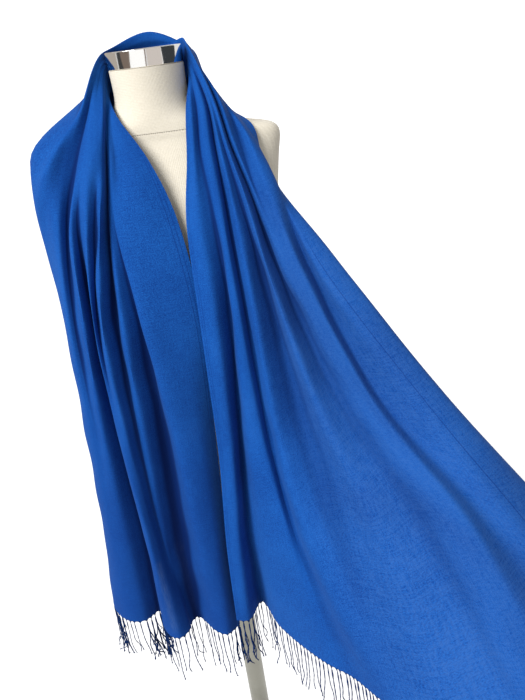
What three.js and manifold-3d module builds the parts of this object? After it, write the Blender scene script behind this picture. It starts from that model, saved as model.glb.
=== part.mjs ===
// A fringed pashmina shawl gathered behind the neck of a limbless dress form on a pole.
// Millimetres, +Z up, front towards -Y, origin at the middle of the base's underside.

import * as THREE from 'three';
import { mergeVertices } from 'three/addons/utils/BufferGeometryUtils.js';
import Module from 'manifold-3d';

const wasm = await Module();
wasm.setup();

// Driving dimensions. Every drop is measured down from the top of the neck cap.
const CAP_TOP = 1600;
const CAP_HEIGHT = 22;
const CAP_RADIUS = 52;
const SEAM_GAP = 0.3;
const DRAWN_IN = 0.25;
const STEEPEST_SLANT = 0.25;

const WALL = 1.2;
const HEM_DROP = 935;

const STRIP_HEIGHT = 3;
const STRAND_RADIUS = 0.9;
const STRAND_LENGTH = 68;
const STRAND_DRIFT = 7;
const STRAND_VARIATION = 0.2;
const STRAND_SPACING = 10;
const STRAND_SIDES = 3;
const STRAND_RINGS = 4;
const LEFT_UNEVENNESS = 0;
const RIGHT_UNEVENNESS = 1000;

const POLE_RADIUS = 19;
const BASE_RADIUS = 170;
const BASE_HEIGHT = 10;
const FORM_FOOT_DROP = 755;
const FOOT_HEIGHT = 14;
const FOOT_RADIUS = 34;
const RIM_ROUNDING = 1.5;
const FOOT_BEVEL = 4;
const BASE_BEVEL = 3;
const CAP_SIDES = 48;
const POLE_SIDES = 32;
const BASE_SIDES = 64;

const BLUE = 0x1f5bb8;
const CREAM = 0xe6e1d2;

function table(columns, rows) {
  return rows.map((cells) => Object.fromEntries(columns.map((name, i) => [name, cells[i]])));
}

// Left front of the shawl, seen from the front. A row is one fold line, inner selvedge first, and a cell is
// its place across and in depth at one level, with its own drop where it has left that level. Share is the
// part of the full height that the fold hangs through: the outer folds start lower, behind the shoulder.
const LEFT_LEVELS = { hem: 935, low: 740, waist: 520, bust: 330, chest: 200, collar: 130, neck: 78 };
const LEFT_FOLDS = table(
  ['fold', 'share', 'hem', 'low', 'waist', 'bust', 'chest', 'collar', 'neck'],
  [
    ['inner selvedge', 1, [4, -141], [9, -139], [20, -135], [30, -139], [14, -102], [-12, -76], [-46, -43, 76]],
    ['lapel middle', 1, [-18, -159], [-10, -158], [-5, -153], [-10, -148],
      [-30, -112], [-33, -77], [-52, -41, 76]],
    ['lapel fold', 1, [-37, -149], [-34, -158], [-37, -156], [-50, -150],
      [-64, -108], [-55, -70], [-56, -38, 77]],
    ['lapel valley', 1, [-72, -112], [-67, -108], [-59, -113], [-58, -124],
      [-68, -102], [-61, -72], [-59, -36, 77]],
    ['soft fold', 1, [-84, -124], [-93, -128], [-86, -136], [-79, -140],
      [-73, -99], [-64, -69], [-61, -35, 76]],
    ['inner valley', 1, [-86, -138], [-99, -130], [-98, -130], [-91, -114],
      [-77, -92], [-68, -64], [-62, -41, 77]],
    ['middle fold', 1, [-102, -154], [-107, -142], [-110, -146], [-107, -140],
      [-84, -117], [-71, -82], [-63, -48, 74]],
    ['middle dip', 1, [-118, -149], [-116, -148], [-120, -143], [-116, -119],
      [-92, -102], [-78, -86], [-68, -50, 77]],
    ['short fold', 1, [-135, -124], [-124, -138], [-126, -134], [-121, -127],
      [-103, -112], [-88, -87], [-75, -51, 79]],
    ['outer valley', 1, [-144, -86], [-130, -92], [-130, -97], [-126, -96],
      [-117, -94], [-97, -82], [-80, -49, 79]],
    ['side fold', 1, [-171, -105], [-161, -112], [-151, -118], [-136, -122],
      [-126, -100], [-105, -72], [-84, -44, 77]],
    ['roll valley', 1, [-199, -102], [-183, -106], [-165, -106], [-153, -94],
      [-135, -74], [-111, -56], [-86, -37, 72]],
    ['neck roll', 1, [-225, -80], [-197, -94], [-176, -100], [-163, -98],
      [-147, -84], [-128, -60], [-91, -42, 65]],
    ['shoulder valley', 1, [-237, -54], [-211, -66], [-190, -76], [-176, -76],
      [-165, -68], [-147, -67], [-102, -36, 72]],
    ['shoulder edge', 0.938, [-239, -28], [-216, -36], [-197, -44], [-184, -47],
      [-186, -44], [-184, -43], [-177, -27, 121]],
    ['arm valley', 0.857, [-219, -2], [-207, -2], [-196, 0], [-189, 6],
      [-192, 14], [-193, 20], [-193, 25, 215]],
    ['back fold', 0.766, [-247, 32], [-229, 36], [-211, 42], [-197, 50],
      [-193, 52], [-192, 49], [-191, 48, 292]],
    ['outer selvedge', 0.68, [-219, 85], [-209, 84], [-197, 86], [-187, 88],
      [-183, 80], [-181, 70], [-180, 65, 365]],
  ],
);

// The stretch behind the neck, from the left side round the back to the right side. A row gives the same fold
// as the row of that number in the other tables, the folds between the rows are spaced evenly, and every
// second one up to the neck roll is tucked in by the depth of a gather there.
const WRAP_FOLDS = table(
  ['fold', 'leftSide', 'backLeft', 'back', 'backRight', 'rightSide'],
  [
    [0, [-57, 22, 49], [-41, 41, 52], [2, 58, 66], [43, 43, 54], [54.5, 2, 43]],
    [4, [-57, 14, 28], [-49, 49, 40], [2, 71, 50], [49, 47, 34], [57, -3, 24]],
    [8, [-59, 7, 15], [-53, 53, 22], [3, 73, 20], [46, 48, -6], [60, -6, 4]],
    [12, [-64, -12, 9], [-47, 47, -6], [6, 69, -20], [62, 64, 9], [71, 15, 34]],
    [13, [-83, 10, 44], [-79, 64, 36], [6, 88, -6], [67, 69, 24], [74, 18, 46]],
    [14, [-177.5, -3, 112], [-118, 80, 98], [6, 97, 42], [73, 73, 50], [78, 21, 56]],
    [15, [-190, 28, 185], [-134, 94, 168], [8, 102, 105], [81, 77, 74], [87, 22, 66]],
    [16, [-189, 48, 265], [-136, 103, 245], [10, 104, 170], [89, 80, 100], [91, 20, 75]],
    [17, [-179, 62, 340], [-127, 108, 315], [10, 102, 232], [94, 82, 126], [98, 16, 82]],
  ],
);
const GATHERED_FOLDS = 12;
const GATHER_DEPTHS = { leftSide: 1, backLeft: 1.5, back: 3.5, backRight: 0.5, rightSide: 0.5 };

// Right front, fanned out to the viewer's right. A level runs from its inner drop at the inner selvedge to
// its outer drop at the border fold, and a cell with a third number has its own drop instead.
const RIGHT_LEVELS = { collar: [80, 66], yoke: [140, 115], chest: [210, 165], bust: [330, 265] };
const RIGHT_FOLDS = table(
  ['fold', 'collar', 'yoke', 'chest', 'bust', 'waist', 'low', 'hem'],
  [
    ['inner selvedge', [47, -48], [40, -82], [29, -114], [27, -147],
      [21, -155, 560], [8, -158, 740], [2, -159, 905]],
    ['front fold', [54, -55], [50, -91], [46, -122], [50, -158],
      [43, -164, 552], [30, -166, 731], [24, -161, 905]],
    ['front valley', [61, -46], [59, -82], [64, -112], [70, -138],
      [57, -139, 545], [47, -138, 726], [48, -121, 908]],
    ['second fold', [66, -53], [66, -89], [72, -120], [75, -162],
      [70, -178, 543], [73, -188, 716], [76, -176, 912]],
    ['soft fold', [71, -53], [73, -89], [77, -120], [82, -164],
      [91, -190, 527], [112, -234, 684], [141, -276, 888]],
    ['second valley', [76, -43], [80, -76], [84, -106], [91, -150],
      [101, -178, 520], [122, -228, 670], [177, -322, 868]],
    ['third fold', [79, -54], [86, -91], [93, -122], [102, -170],
      [114, -208, 511], [138, -270, 649], [206, -380, 840]],
    ['third valley', [82, -53], [91, -84], [102, -112], [122, -149],
      [153, -191, 496], [180, -278, 626], [227, -420, 815]],
    ['neck fold', [85, -54], [95, -88], [109, -120], [131, -172],
      [180, -244, 480], [231, -334, 594], [277, -474, 770]],
    ['deep valley', [87, -41], [99, -71], [115, -100], [144, -148],
      [208, -226, 464], [275, -332, 569], [343, -486, 726]],
    ['shoulder fold', [92, -45], [104, -80], [120, -106], [153, -168],
      [228, -248, 457], [297, -358, 557], [365, -499, 715]],
    ['short valley', [96, -34, 74], [113, -66], [124, -102], [161, -172],
      [237, -252, 454], [310, -366, 551], [383, -496, 710]],
    ['wide fold', [99, -28, 77], [123, -75], [138, -114], [171, -176],
      [245, -257, 451], [323, -368, 547], [401, -492, 705]],
    ['border valley', [101, -22, 80], [127, -63, 116], [149, -104], [181, -157],
      [255, -242, 449], [340, -350, 550], [440, -467, 702]],
    ['band', [103, -16, 84], [129, -56, 117], [151, -94, 170], [190, -175],
      [294, -268, 438], [386, -364, 564], [482, -439, 698]],
    ['border fold', [106, -10, 88], [131, -50, 115], [149, -85, 172], [212, -168],
      [322, -256, 430], [429, -340, 573], [523, -396, 692]],
    ['turned under', [108, -4, 91], [132, -46, 114], [147, -78, 171], [209, -152, 268],
      [321, -238, 431], [433, -322, 571], [527, -378, 696]],
    ['outer selvedge', [109, 3, 93], [134, -42, 112], [143, -72, 168], [196, -138, 273],
      [299, -224, 441], [409, -306, 580], [503, -364, 700]],
  ],
);
const BORDER_FOLD = 15;

// How finely each stretch is cut: rows between one station and the next, and columns between two folds.
const LEFT_STEPS = [3, 3, 3, 2, 2, 2, 3];
const WRAP_STEPS = [3, 3, 3, 3];
const RIGHT_STEPS = [2, 2, 2, 2, 4, 3, 3];
const COLUMN_STEPS = 2;

const at = (x, y, drop) => new THREE.Vector3(x, y, CAP_TOP - drop);

function leftStation(level) {
  return LEFT_FOLDS.map((row) => {
    const [x, y, own] = row[level];
    const drop = own ?? HEM_DROP - (HEM_DROP - LEFT_LEVELS[level]) * row.share;
    return at(x, y, drop);
  });
}

function rightStation(level) {
  const innerX = RIGHT_FOLDS[0][level][0];
  const borderX = RIGHT_FOLDS[BORDER_FOLD][level][0];
  return RIGHT_FOLDS.map((row) => {
    const [x, y, own] = row[level];
    if (own !== undefined) return at(x, y, own);
    const across = (x - innerX) / (borderX - innerX);
    return at(x, y, THREE.MathUtils.lerp(...RIGHT_LEVELS[level], across));
  });
}

function wrapStation(side) {
  return LEFT_FOLDS.map((row, fold) => {
    const next = WRAP_FOLDS.findIndex((key) => key.fold >= fold);
    const upper = WRAP_FOLDS[next];
    const lower = WRAP_FOLDS[Math.max(0, next - 1)];
    const share = upper.fold === lower.fold ? 0 : (fold - lower.fold) / (upper.fold - lower.fold);
    const point = at(...lower[side]).lerp(at(...upper[side]), share);
    if (fold % 2 === 1 && fold < GATHERED_FOLDS) {
      const inward = new THREE.Vector3(point.x, point.y, 0).setLength(GATHER_DEPTHS[side]);
      point.sub(inward);
    }
    return point;
  });
}

const leftStations = ['hem', 'low', 'waist', 'bust', 'chest', 'collar', 'neck'].map(leftStation);
const wrapStations = ['leftSide', 'backLeft', 'back', 'backRight', 'rightSide'].map(wrapStation);
const rightStations = ['collar', 'yoke', 'chest', 'bust', 'waist', 'low', 'hem'].map(rightStation);
const STATIONS = [...leftStations, ...wrapStations, ...rightStations];
const LEFT_SEAM = leftStations.length - 1;
const RIGHT_SEAM = leftStations.length + wrapStations.length;
const LAST_STATION = STATIONS.length - 1;

// Every fold line is one smooth curve along the whole shawl, and every row across is one through the folds.
const FOLD_CURVES = LEFT_FOLDS.map((row, fold) => (
  new THREE.CatmullRomCurve3(STATIONS.map((station) => station[fold]), false, 'centripetal')
));

function clothRow(station) {
  const along = station / LAST_STATION;
  const crossings = FOLD_CURVES.map((curve) => curve.getPoint(along));
  const across = new THREE.CatmullRomCurve3(crossings, false, 'centripetal');
  return across.getPoints((LEFT_FOLDS.length - 1) * COLUMN_STEPS);
}

// The mean of the unit directions into a point and out of it.
function bisector(before, point, after) {
  return point.clone().sub(before).normalize().add(after.clone().sub(point).normalize());
}

// All rows of the cloth, one after the other, each with the wall's direction at its points.
function gridNormals(rows) {
  const last = rows.length - 1;
  return rows.map((row, r) => row.map((point, c) => {
    const along = bisector(rows[Math.max(r - 1, 0)][c], point, rows[Math.min(r + 1, last)][c]);
    const across = bisector(row[Math.max(c - 1, 0)], point, row[Math.min(c + 1, row.length - 1)]);
    return across.cross(along).normalize();
  }));
}

const STEPS = [...LEFT_STEPS, ...WRAP_STEPS, ...RIGHT_STEPS];
const CLOTH_ROWS = [clothRow(0)];
STEPS.forEach((count, i) => {
  for (let step = 1; step <= count; step += 1) CLOTH_ROWS.push(clothRow(i + step / count));
});
const CLOTH_NORMALS = gridNormals(CLOTH_ROWS);
const rowOfStation = (station) => STEPS.slice(0, station).reduce((sum, count) => sum + count, 0);

// The wall of one stretch between two stations, drawn in by half a seam gap where another stretch follows.
function stretchGeometry(firstStation, lastStation) {
  const first = rowOfStation(firstStation);
  const last = rowOfStation(lastStation);
  const rows = CLOTH_ROWS.slice(first, last + 1);
  if (first > 0) rows[0] = drawnIn(rows[0], rows[1]);
  if (last < CLOTH_ROWS.length - 1) rows[rows.length - 1] = drawnIn(rows.at(-1), rows.at(-2));
  return wallGeometry(rows, CLOTH_NORMALS.slice(first, last + 1), WALL);
}

// An edge row moved towards the row inside it, further where the fold lines meet the edge at a slant.
function drawnIn(edge, inside) {
  return edge.map((point, i) => {
    const inward = inside[i].clone().sub(point).normalize();
    const along = bisector(edge[Math.max(i - 1, 0)], point, edge[Math.min(i + 1, edge.length - 1)]).normalize();
    const slant = Math.max(inward.clone().cross(along).length(), STEEPEST_SLANT);
    return point.clone().addScaledVector(inward, DRAWN_IN / slant);
  });
}

// A wall of even thickness round a grid of points: two skins and a rim, as one closed body.
function wallGeometry(rows, normals, thickness) {
  const rowCount = rows.length;
  const columnCount = rows[0].length;
  const skin = (side) => rows.flatMap((row, r) => (
    row.map((point, c) => point.clone().addScaledVector(normals[r][c], side * thickness / 2))
  ));
  const points = [...skin(1), ...skin(-1)];
  const half = rowCount * columnCount;
  const index = [];
  const quad = (a, b, c, d) => index.push(a, b, c, a, c, d);
  const id = (r, c) => r * columnCount + c;
  for (let r = 0; r < rowCount - 1; r += 1) {
    for (let c = 0; c < columnCount - 1; c += 1) {
      quad(id(r, c), id(r, c + 1), id(r + 1, c + 1), id(r + 1, c));
      quad(half + id(r, c), half + id(r + 1, c), half + id(r + 1, c + 1), half + id(r, c + 1));
    }
  }
  const rim = (a, b) => quad(b, a, half + a, half + b);
  for (let c = 0; c < columnCount - 1; c += 1) {
    rim(id(0, c), id(0, c + 1));
    rim(id(rowCount - 1, c + 1), id(rowCount - 1, c));
  }
  for (let r = 0; r < rowCount - 1; r += 1) {
    rim(id(r + 1, 0), id(r, 0));
    rim(id(r, columnCount - 1), id(r + 1, columnCount - 1));
  }
  return orientOutward(solidGeometry(points, index));
}

function solidGeometry(points, index) {
  const geometry = new THREE.BufferGeometry();
  geometry.setAttribute('position', new THREE.Float32BufferAttribute(points.flatMap((p) => p.toArray()), 3));
  geometry.setIndex(index);
  return geometry;
}

// A closed body through rings of equal count, each given in order round the body, lowest ring first.
function loftGeometry(rings) {
  const count = rings[0].length;
  const middle = (ring) => ring.reduce((sum, p) => sum.add(p), new THREE.Vector3()).divideScalar(count);
  const points = [...rings.flat(), middle(rings[0]), middle(rings.at(-1))];
  const bottom = rings.length * count;
  const top = bottom + 1;
  const lastRing = (rings.length - 1) * count;
  const index = [];
  for (let i = 0; i < count; i += 1) {
    const next = (i + 1) % count;
    for (let r = 0; r < rings.length - 1; r += 1) {
      const low = r * count;
      const high = low + count;
      index.push(low + i, low + next, high + next, low + i, high + next, high + i);
    }
    index.push(bottom, next, i);
    index.push(top, lastRing + i, lastRing + next);
  }
  return solidGeometry(points, index);
}

function toManifold(geometry) {
  const plain = geometry.clone();
  plain.deleteAttribute('normal');
  plain.deleteAttribute('uv');
  const merged = mergeVertices(plain);
  const vertProperties = new Float32Array(merged.attributes.position.array);
  const triVerts = new Uint32Array(merged.index.array);
  return new wasm.Manifold(new wasm.Mesh({ numProp: 3, vertProperties, triVerts }));
}

function fromManifold(solid) {
  const { vertProperties, triVerts } = solid.getMesh();
  const geometry = new THREE.BufferGeometry();
  geometry.setAttribute('position', new THREE.BufferAttribute(vertProperties, 3));
  geometry.setIndex(new THREE.BufferAttribute(triVerts, 1));
  return geometry;
}

// Fringe at one end: a narrow strip just off the hem, with a twisted strand hanging from each knot on it.
// The strands drift a little sideways and differ in length, by a fixed uneven sequence from -0.5 to 0.5.
const UNEVEN_STEP = 12.9898;
const UNEVEN_STRETCH = 43758.5453;
const DEPTH_PHASE = 200;
const LENGTH_PHASE = 400;

function uneven(n) {
  const wave = Math.sin(n * UNEVEN_STEP) * UNEVEN_STRETCH;
  return wave - Math.floor(wave) - 0.5;
}

function strandGeometry(root, lean, length) {
  const rings = [];
  for (let step = STRAND_RINGS - 1; step >= 0; step -= 1) {
    const share = step / (STRAND_RINGS - 1);
    const centre = root.clone();
    centre.x += lean.x * share ** 2;
    centre.y += lean.y * share ** 2;
    centre.z -= length * share;
    const ring = [];
    for (let side = 0; side < STRAND_SIDES; side += 1) {
      const angle = (side / STRAND_SIDES) * Math.PI * 2;
      const offset = new THREE.Vector3(Math.cos(angle), Math.sin(angle), 0).multiplyScalar(STRAND_RADIUS);
      ring.push(centre.clone().add(offset));
    }
    rings.push(ring);
  }
  return loftGeometry(rings);
}

function fringeGeometry(hem, inside, phase) {
  const down = hem.map((point, i) => point.clone().sub(inside[i]).normalize());
  const edge = (distance) => hem.map((point, i) => point.clone().addScaledVector(down[i], distance));
  const stripRows = [edge(SEAM_GAP), edge(SEAM_GAP + STRIP_HEIGHT)];
  let fringe = toManifold(wallGeometry(stripRows, gridNormals(stripRows), WALL));
  const middle = edge(SEAM_GAP + STRIP_HEIGHT / 2);
  const path = new THREE.CurvePath();
  for (let i = 1; i < middle.length; i += 1) path.add(new THREE.LineCurve3(middle[i - 1], middle[i]));
  const count = Math.round(path.getLength() / STRAND_SPACING);
  for (let i = 0; i < count; i += 1) {
    const root = path.getPoint((i + 0.5) / count);
    const lean = new THREE.Vector3(uneven(i + phase), uneven(i + phase + DEPTH_PHASE), 0);
    lean.multiplyScalar(STRAND_DRIFT);
    const length = STRAND_LENGTH * (1 + uneven(i + phase + LENGTH_PHASE) * STRAND_VARIATION);
    fringe = fringe.add(toManifold(strandGeometry(root, lean, length)));
  }
  return fromManifold(fringe);
}

// Turns a closed body inside out where its faces point in.
function orientOutward(geometry) {
  const position = geometry.attributes.position;
  const index = geometry.index.array;
  const [a, b, c] = [new THREE.Vector3(), new THREE.Vector3(), new THREE.Vector3()];
  let volume = 0;
  for (let i = 0; i < index.length; i += 3) {
    a.fromBufferAttribute(position, index[i]);
    b.fromBufferAttribute(position, index[i + 1]);
    c.fromBufferAttribute(position, index[i + 2]);
    volume += a.dot(b.cross(c));
  }
  if (volume < 0) {
    for (let i = 0; i < index.length; i += 3) [index[i], index[i + 1]] = [index[i + 1], index[i]];
  }
  return geometry;
}

// Dress form: a row is a level section, rounder or squarer by its corner number, with no head, arms or legs.
const FORM_SECTIONS = table(
  ['drop', 'halfWidth', 'front', 'back', 'corner'],
  [
    [FORM_FOOT_DROP, 153, 98, 104, 2.4],
    [680, 158, 100, 110, 2.4],
    [620, 146, 96, 100, 2.3],
    [540, 123, 86, 80, 2.2],
    [480, 114, 85, 70, 2.2],
    [420, 123, 96, 72, 2.2],
    [350, 146, 114, 82, 2.3],
    [300, 155, 118, 88, 2.4],
    [230, 158, 98, 88, 2.6],
    [186, 163, 80, 84, 2.8],
    [150, 168, 62, 72, 3],
    [124, 174, 53, 58, 2.8],
    [117, 173, 51, 55, 2.8],
    [112, 160, 51, 53, 2.7],
    [105, 122, 51, 52, 2.4],
    [93, 91, 50.5, 51.5, 2.2],
    [85, 68, 50.5, 51, 2],
    [76, 56, 50, 50, 2],
    [62, 50, 49.5, 49.5, 2],
    [CAP_HEIGHT + SEAM_GAP, 51, 51, 51, 2],
  ],
);
const FORM_SIDES = 44;

function formRing(section) {
  const ring = [];
  for (let i = 0; i < FORM_SIDES; i += 1) {
    const angle = (i / FORM_SIDES) * Math.PI * 2;
    const cos = Math.cos(angle);
    const sin = Math.sin(angle);
    const depth = sin < 0 ? section.front : section.back;
    const x = section.halfWidth * Math.sign(cos) * Math.abs(cos) ** (2 / section.corner);
    const y = depth * Math.sign(sin) * Math.abs(sin) ** (2 / section.corner);
    ring.push(at(x, y, section.drop));
  }
  return ring;
}

// Turned parts: radius and height pairs from the axis out and back, then stood up along Z.
function turnedGeometry(profile, sides) {
  const points = profile.map(([radius, height]) => new THREE.Vector2(radius, height));
  const geometry = new THREE.LatheGeometry(points, sides);
  geometry.rotateX(Math.PI / 2);
  geometry.deleteAttribute('normal');
  geometry.deleteAttribute('uv');
  return orientOutward(mergeVertices(geometry, 1e-3));
}

function capGeometry() {
  const bottom = CAP_TOP - CAP_HEIGHT;
  return turnedGeometry([
    [0, bottom],
    [CAP_RADIUS - 1, bottom],
    [CAP_RADIUS, CAP_TOP - RIM_ROUNDING],
    [CAP_RADIUS - RIM_ROUNDING, CAP_TOP],
    [0, CAP_TOP],
  ], CAP_SIDES);
}

function footGeometry() {
  const top = CAP_TOP - FORM_FOOT_DROP - SEAM_GAP;
  const bottom = top - FOOT_HEIGHT;
  return turnedGeometry([
    [0, bottom],
    [FOOT_RADIUS - FOOT_BEVEL, bottom],
    [FOOT_RADIUS, top - FOOT_BEVEL],
    [FOOT_RADIUS, top],
    [0, top],
  ], POLE_SIDES);
}

function poleGeometry() {
  const top = CAP_TOP - FORM_FOOT_DROP - FOOT_HEIGHT - 2 * SEAM_GAP;
  const bottom = BASE_HEIGHT + SEAM_GAP;
  return turnedGeometry([[0, bottom], [POLE_RADIUS, bottom], [POLE_RADIUS, top], [0, top]], POLE_SIDES);
}

function baseGeometry() {
  return turnedGeometry([
    [0, 0],
    [BASE_RADIUS, 0],
    [BASE_RADIUS, BASE_HEIGHT - BASE_BEVEL],
    [BASE_RADIUS - BASE_BEVEL, BASE_HEIGHT],
    [0, BASE_HEIGHT],
  ], BASE_SIDES);
}

const cloth = new THREE.MeshStandardMaterial({ color: BLUE, roughness: 0.9, metalness: 0 });
const jersey = new THREE.MeshStandardMaterial({ color: CREAM, roughness: 0.95, metalness: 0 });
const chrome = new THREE.MeshStandardMaterial({ color: 0xd8dadc, roughness: 0.12, metalness: 1 });
const steel = new THREE.MeshStandardMaterial({ color: 0xb4b0a8, roughness: 0.35, metalness: 1 });

const model = new THREE.Group();

function addPiece(name, geometry, material, parent = model) {
  const mesh = new THREE.Mesh(geometry, material);
  mesh.name = name;
  parent.add(mesh);
}

addPiece('shawl_left_front', stretchGeometry(0, LEFT_SEAM), cloth);
addPiece('shawl_neck', stretchGeometry(LEFT_SEAM, RIGHT_SEAM), cloth);
addPiece('shawl_right_front', stretchGeometry(RIGHT_SEAM, LAST_STATION), cloth);
addPiece('fringe_left', fringeGeometry(CLOTH_ROWS[0], CLOTH_ROWS[1], LEFT_UNEVENNESS), cloth);
addPiece('fringe_right', fringeGeometry(CLOTH_ROWS.at(-1), CLOTH_ROWS.at(-2), RIGHT_UNEVENNESS), cloth);

const dressForm = new THREE.Group();
model.add(dressForm);
addPiece('form_torso', loftGeometry(FORM_SECTIONS.map(formRing)), jersey, dressForm);
addPiece('neck_cap', capGeometry(), chrome, dressForm);
addPiece('form_foot', footGeometry(), steel, dressForm);
addPiece('pole', poleGeometry(), steel, dressForm);
addPiece('base', baseGeometry(), steel, dressForm);

export default model;
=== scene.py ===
import math

import bpy
import numpy as np
from mathutils import Matrix, Vector


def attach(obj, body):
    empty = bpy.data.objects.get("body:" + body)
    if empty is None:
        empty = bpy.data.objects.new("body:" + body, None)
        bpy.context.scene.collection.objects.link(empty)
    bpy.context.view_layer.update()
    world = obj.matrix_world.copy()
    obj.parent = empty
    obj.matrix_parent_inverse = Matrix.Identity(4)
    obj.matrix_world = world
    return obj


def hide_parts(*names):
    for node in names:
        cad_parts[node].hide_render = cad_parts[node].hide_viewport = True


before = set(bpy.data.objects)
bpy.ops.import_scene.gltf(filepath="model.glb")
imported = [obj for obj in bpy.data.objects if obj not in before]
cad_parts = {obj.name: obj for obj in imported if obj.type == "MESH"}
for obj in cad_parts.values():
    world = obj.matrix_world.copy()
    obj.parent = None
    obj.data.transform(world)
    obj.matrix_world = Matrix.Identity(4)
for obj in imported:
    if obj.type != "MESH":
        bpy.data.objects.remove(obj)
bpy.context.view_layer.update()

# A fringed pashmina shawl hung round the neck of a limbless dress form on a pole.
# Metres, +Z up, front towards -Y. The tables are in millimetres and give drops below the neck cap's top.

MM = 0.001
TURN = 2 * math.pi

# Sizes of the form and its stand. Pieces that meet are parted by a hair.
PARTING = 0.3
CAP_TOP = 1600
CAP_HEIGHT = 22
CAP_RADIUS = 52
FORM_FOOT_DROP = 755
FOOT_HEIGHT = 14
FOOT_RADIUS = 34
POLE_RADIUS = 19
BASE_RADIUS = 170
BASE_HEIGHT = 10

# The camera stands in front of the neck cap, looks down at the shawl and is rolled a little.
CAMERA_PLACE = (0.107, -0.958, 1.597)
CAMERA_PITCH = math.radians(26)
CAMERA_ROLL = math.radians(7.4)
FRAME_HEIGHT_PIXELS = 700
FOCAL_PIXELS = 640
SENSOR_MM = 36


def add_object(name, data):
    made = bpy.data.objects.new(name, data)
    bpy.context.collection.objects.link(made)
    return made


def add_camera():
    level_right = Vector((1, 0, 0))
    level_up = Vector((0, math.sin(CAMERA_PITCH), math.cos(CAMERA_PITCH)))
    ahead = Vector((0, math.cos(CAMERA_PITCH), -math.sin(CAMERA_PITCH)))
    right = level_right * math.cos(CAMERA_ROLL) - level_up * math.sin(CAMERA_ROLL)
    up = level_right * math.sin(CAMERA_ROLL) + level_up * math.cos(CAMERA_ROLL)
    data = bpy.data.cameras.new("camera")
    data.sensor_fit = "VERTICAL"
    data.sensor_height = SENSOR_MM
    data.lens = FOCAL_PIXELS * SENSOR_MM / FRAME_HEIGHT_PIXELS
    camera = add_object("camera", data)
    turned = Matrix((right, up, -ahead)).transposed().to_4x4()
    camera.matrix_world = Matrix.Translation(CAMERA_PLACE) @ turned
    bpy.context.scene.camera = camera


add_camera()

# Left front of the shawl: one row is one fold line, inner selvedge first, with its share of the full fall
# and its place across and in depth at the hem, low, waist, bust, chest, collar and neck. A third number is
# a fold's own drop.
HEM_DROP = 935
LEFT_DROPS = (HEM_DROP, 740, 520, 330, 200, 130, 78)
LEFT_FOLDS = [
    ("inner selvedge", 1, (4, -141), (9, -139), (20, -135), (30, -139),
     (14, -102), (-12, -76), (-46, -43, 76)),
    ("lapel middle", 1, (-18, -159), (-10, -158), (-5, -153), (-10, -148),
     (-30, -112), (-33, -77), (-52, -41, 76)),
    ("lapel fold", 1, (-37, -149), (-34, -158), (-37, -156), (-50, -150),
     (-64, -108), (-55, -70), (-56, -38, 77)),
    ("lapel valley", 1, (-72, -112), (-67, -108), (-59, -113), (-58, -124),
     (-68, -102), (-61, -72), (-59, -36, 77)),
    ("soft fold", 1, (-84, -124), (-93, -128), (-86, -136), (-79, -140),
     (-73, -99), (-64, -69), (-61, -35, 76)),
    ("inner valley", 1, (-86, -138), (-99, -130), (-98, -130), (-91, -114),
     (-77, -92), (-68, -64), (-62, -41, 77)),
    ("middle fold", 1, (-102, -154), (-107, -142), (-110, -146), (-107, -140),
     (-84, -117), (-71, -82), (-63, -48, 74)),
    ("middle dip", 1, (-118, -149), (-116, -148), (-120, -143), (-116, -119),
     (-92, -102), (-78, -86), (-68, -50, 77)),
    ("short fold", 1, (-135, -124), (-124, -138), (-126, -134), (-121, -127),
     (-103, -112), (-88, -87), (-75, -51, 79)),
    ("outer valley", 1, (-144, -86), (-130, -92), (-130, -97), (-126, -96),
     (-117, -94), (-97, -82), (-80, -49, 79)),
    ("side fold", 1, (-171, -105), (-161, -112), (-151, -118), (-136, -122),
     (-126, -100), (-105, -72), (-84, -44, 77)),
    ("roll valley", 1, (-199, -102), (-183, -106), (-165, -106), (-153, -94),
     (-135, -74), (-111, -56), (-86, -37, 72)),
    ("neck roll", 1, (-225, -80), (-197, -94), (-176, -100), (-163, -98),
     (-147, -84), (-128, -60), (-91, -42, 65)),
    ("shoulder valley", 1, (-237, -54), (-211, -66), (-190, -76), (-176, -76),
     (-165, -68), (-147, -67), (-102, -36, 72)),
    ("shoulder edge", 0.938, (-239, -28), (-216, -36), (-197, -44), (-184, -47),
     (-186, -44), (-184, -43), (-177, -27, 121)),
    ("arm valley", 0.857, (-219, -2), (-207, -2), (-196, 0), (-189, 6),
     (-192, 14), (-193, 20), (-193, 25, 215)),
    ("back fold", 0.766, (-247, 32), (-229, 36), (-211, 42), (-197, 50),
     (-193, 52), (-192, 49), (-191, 48, 292)),
    ("outer selvedge", 0.68, (-219, 85), (-209, 84), (-197, 86), (-187, 88),
     (-183, 80), (-181, 70), (-180, 65, 365)),
]

# Behind the neck: key folds from the left side, by the back, to the right side. The folds between are even,
# and every second one up to the neck roll is tucked in by the depth of a gather.
WRAP_FOLDS = [
    (0, (-57, 22, 49), (-41, 41, 52), (2, 58, 66), (43, 43, 54), (54.5, 2, 43)),
    (4, (-57, 14, 28), (-49, 49, 40), (2, 71, 50), (49, 47, 34), (57, -3, 24)),
    (8, (-59, 7, 15), (-53, 53, 22), (3, 73, 20), (46, 48, -6), (60, -6, 4)),
    (12, (-64, -12, 9), (-47, 47, -6), (6, 69, -20), (62, 64, 9), (71, 15, 34)),
    (13, (-83, 10, 44), (-79, 64, 36), (6, 88, -6), (67, 69, 24), (74, 18, 46)),
    (14, (-177.5, -3, 112), (-118, 80, 98), (6, 97, 42), (73, 73, 50), (78, 21, 56)),
    (15, (-190, 28, 185), (-134, 94, 168), (8, 102, 105), (81, 77, 74), (87, 22, 66)),
    (16, (-189, 48, 265), (-136, 103, 245), (10, 104, 170), (89, 80, 100), (91, 20, 75)),
    (17, (-179, 62, 340), (-127, 108, 315), (10, 102, 232), (94, 82, 126), (98, 16, 82)),
]
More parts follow.
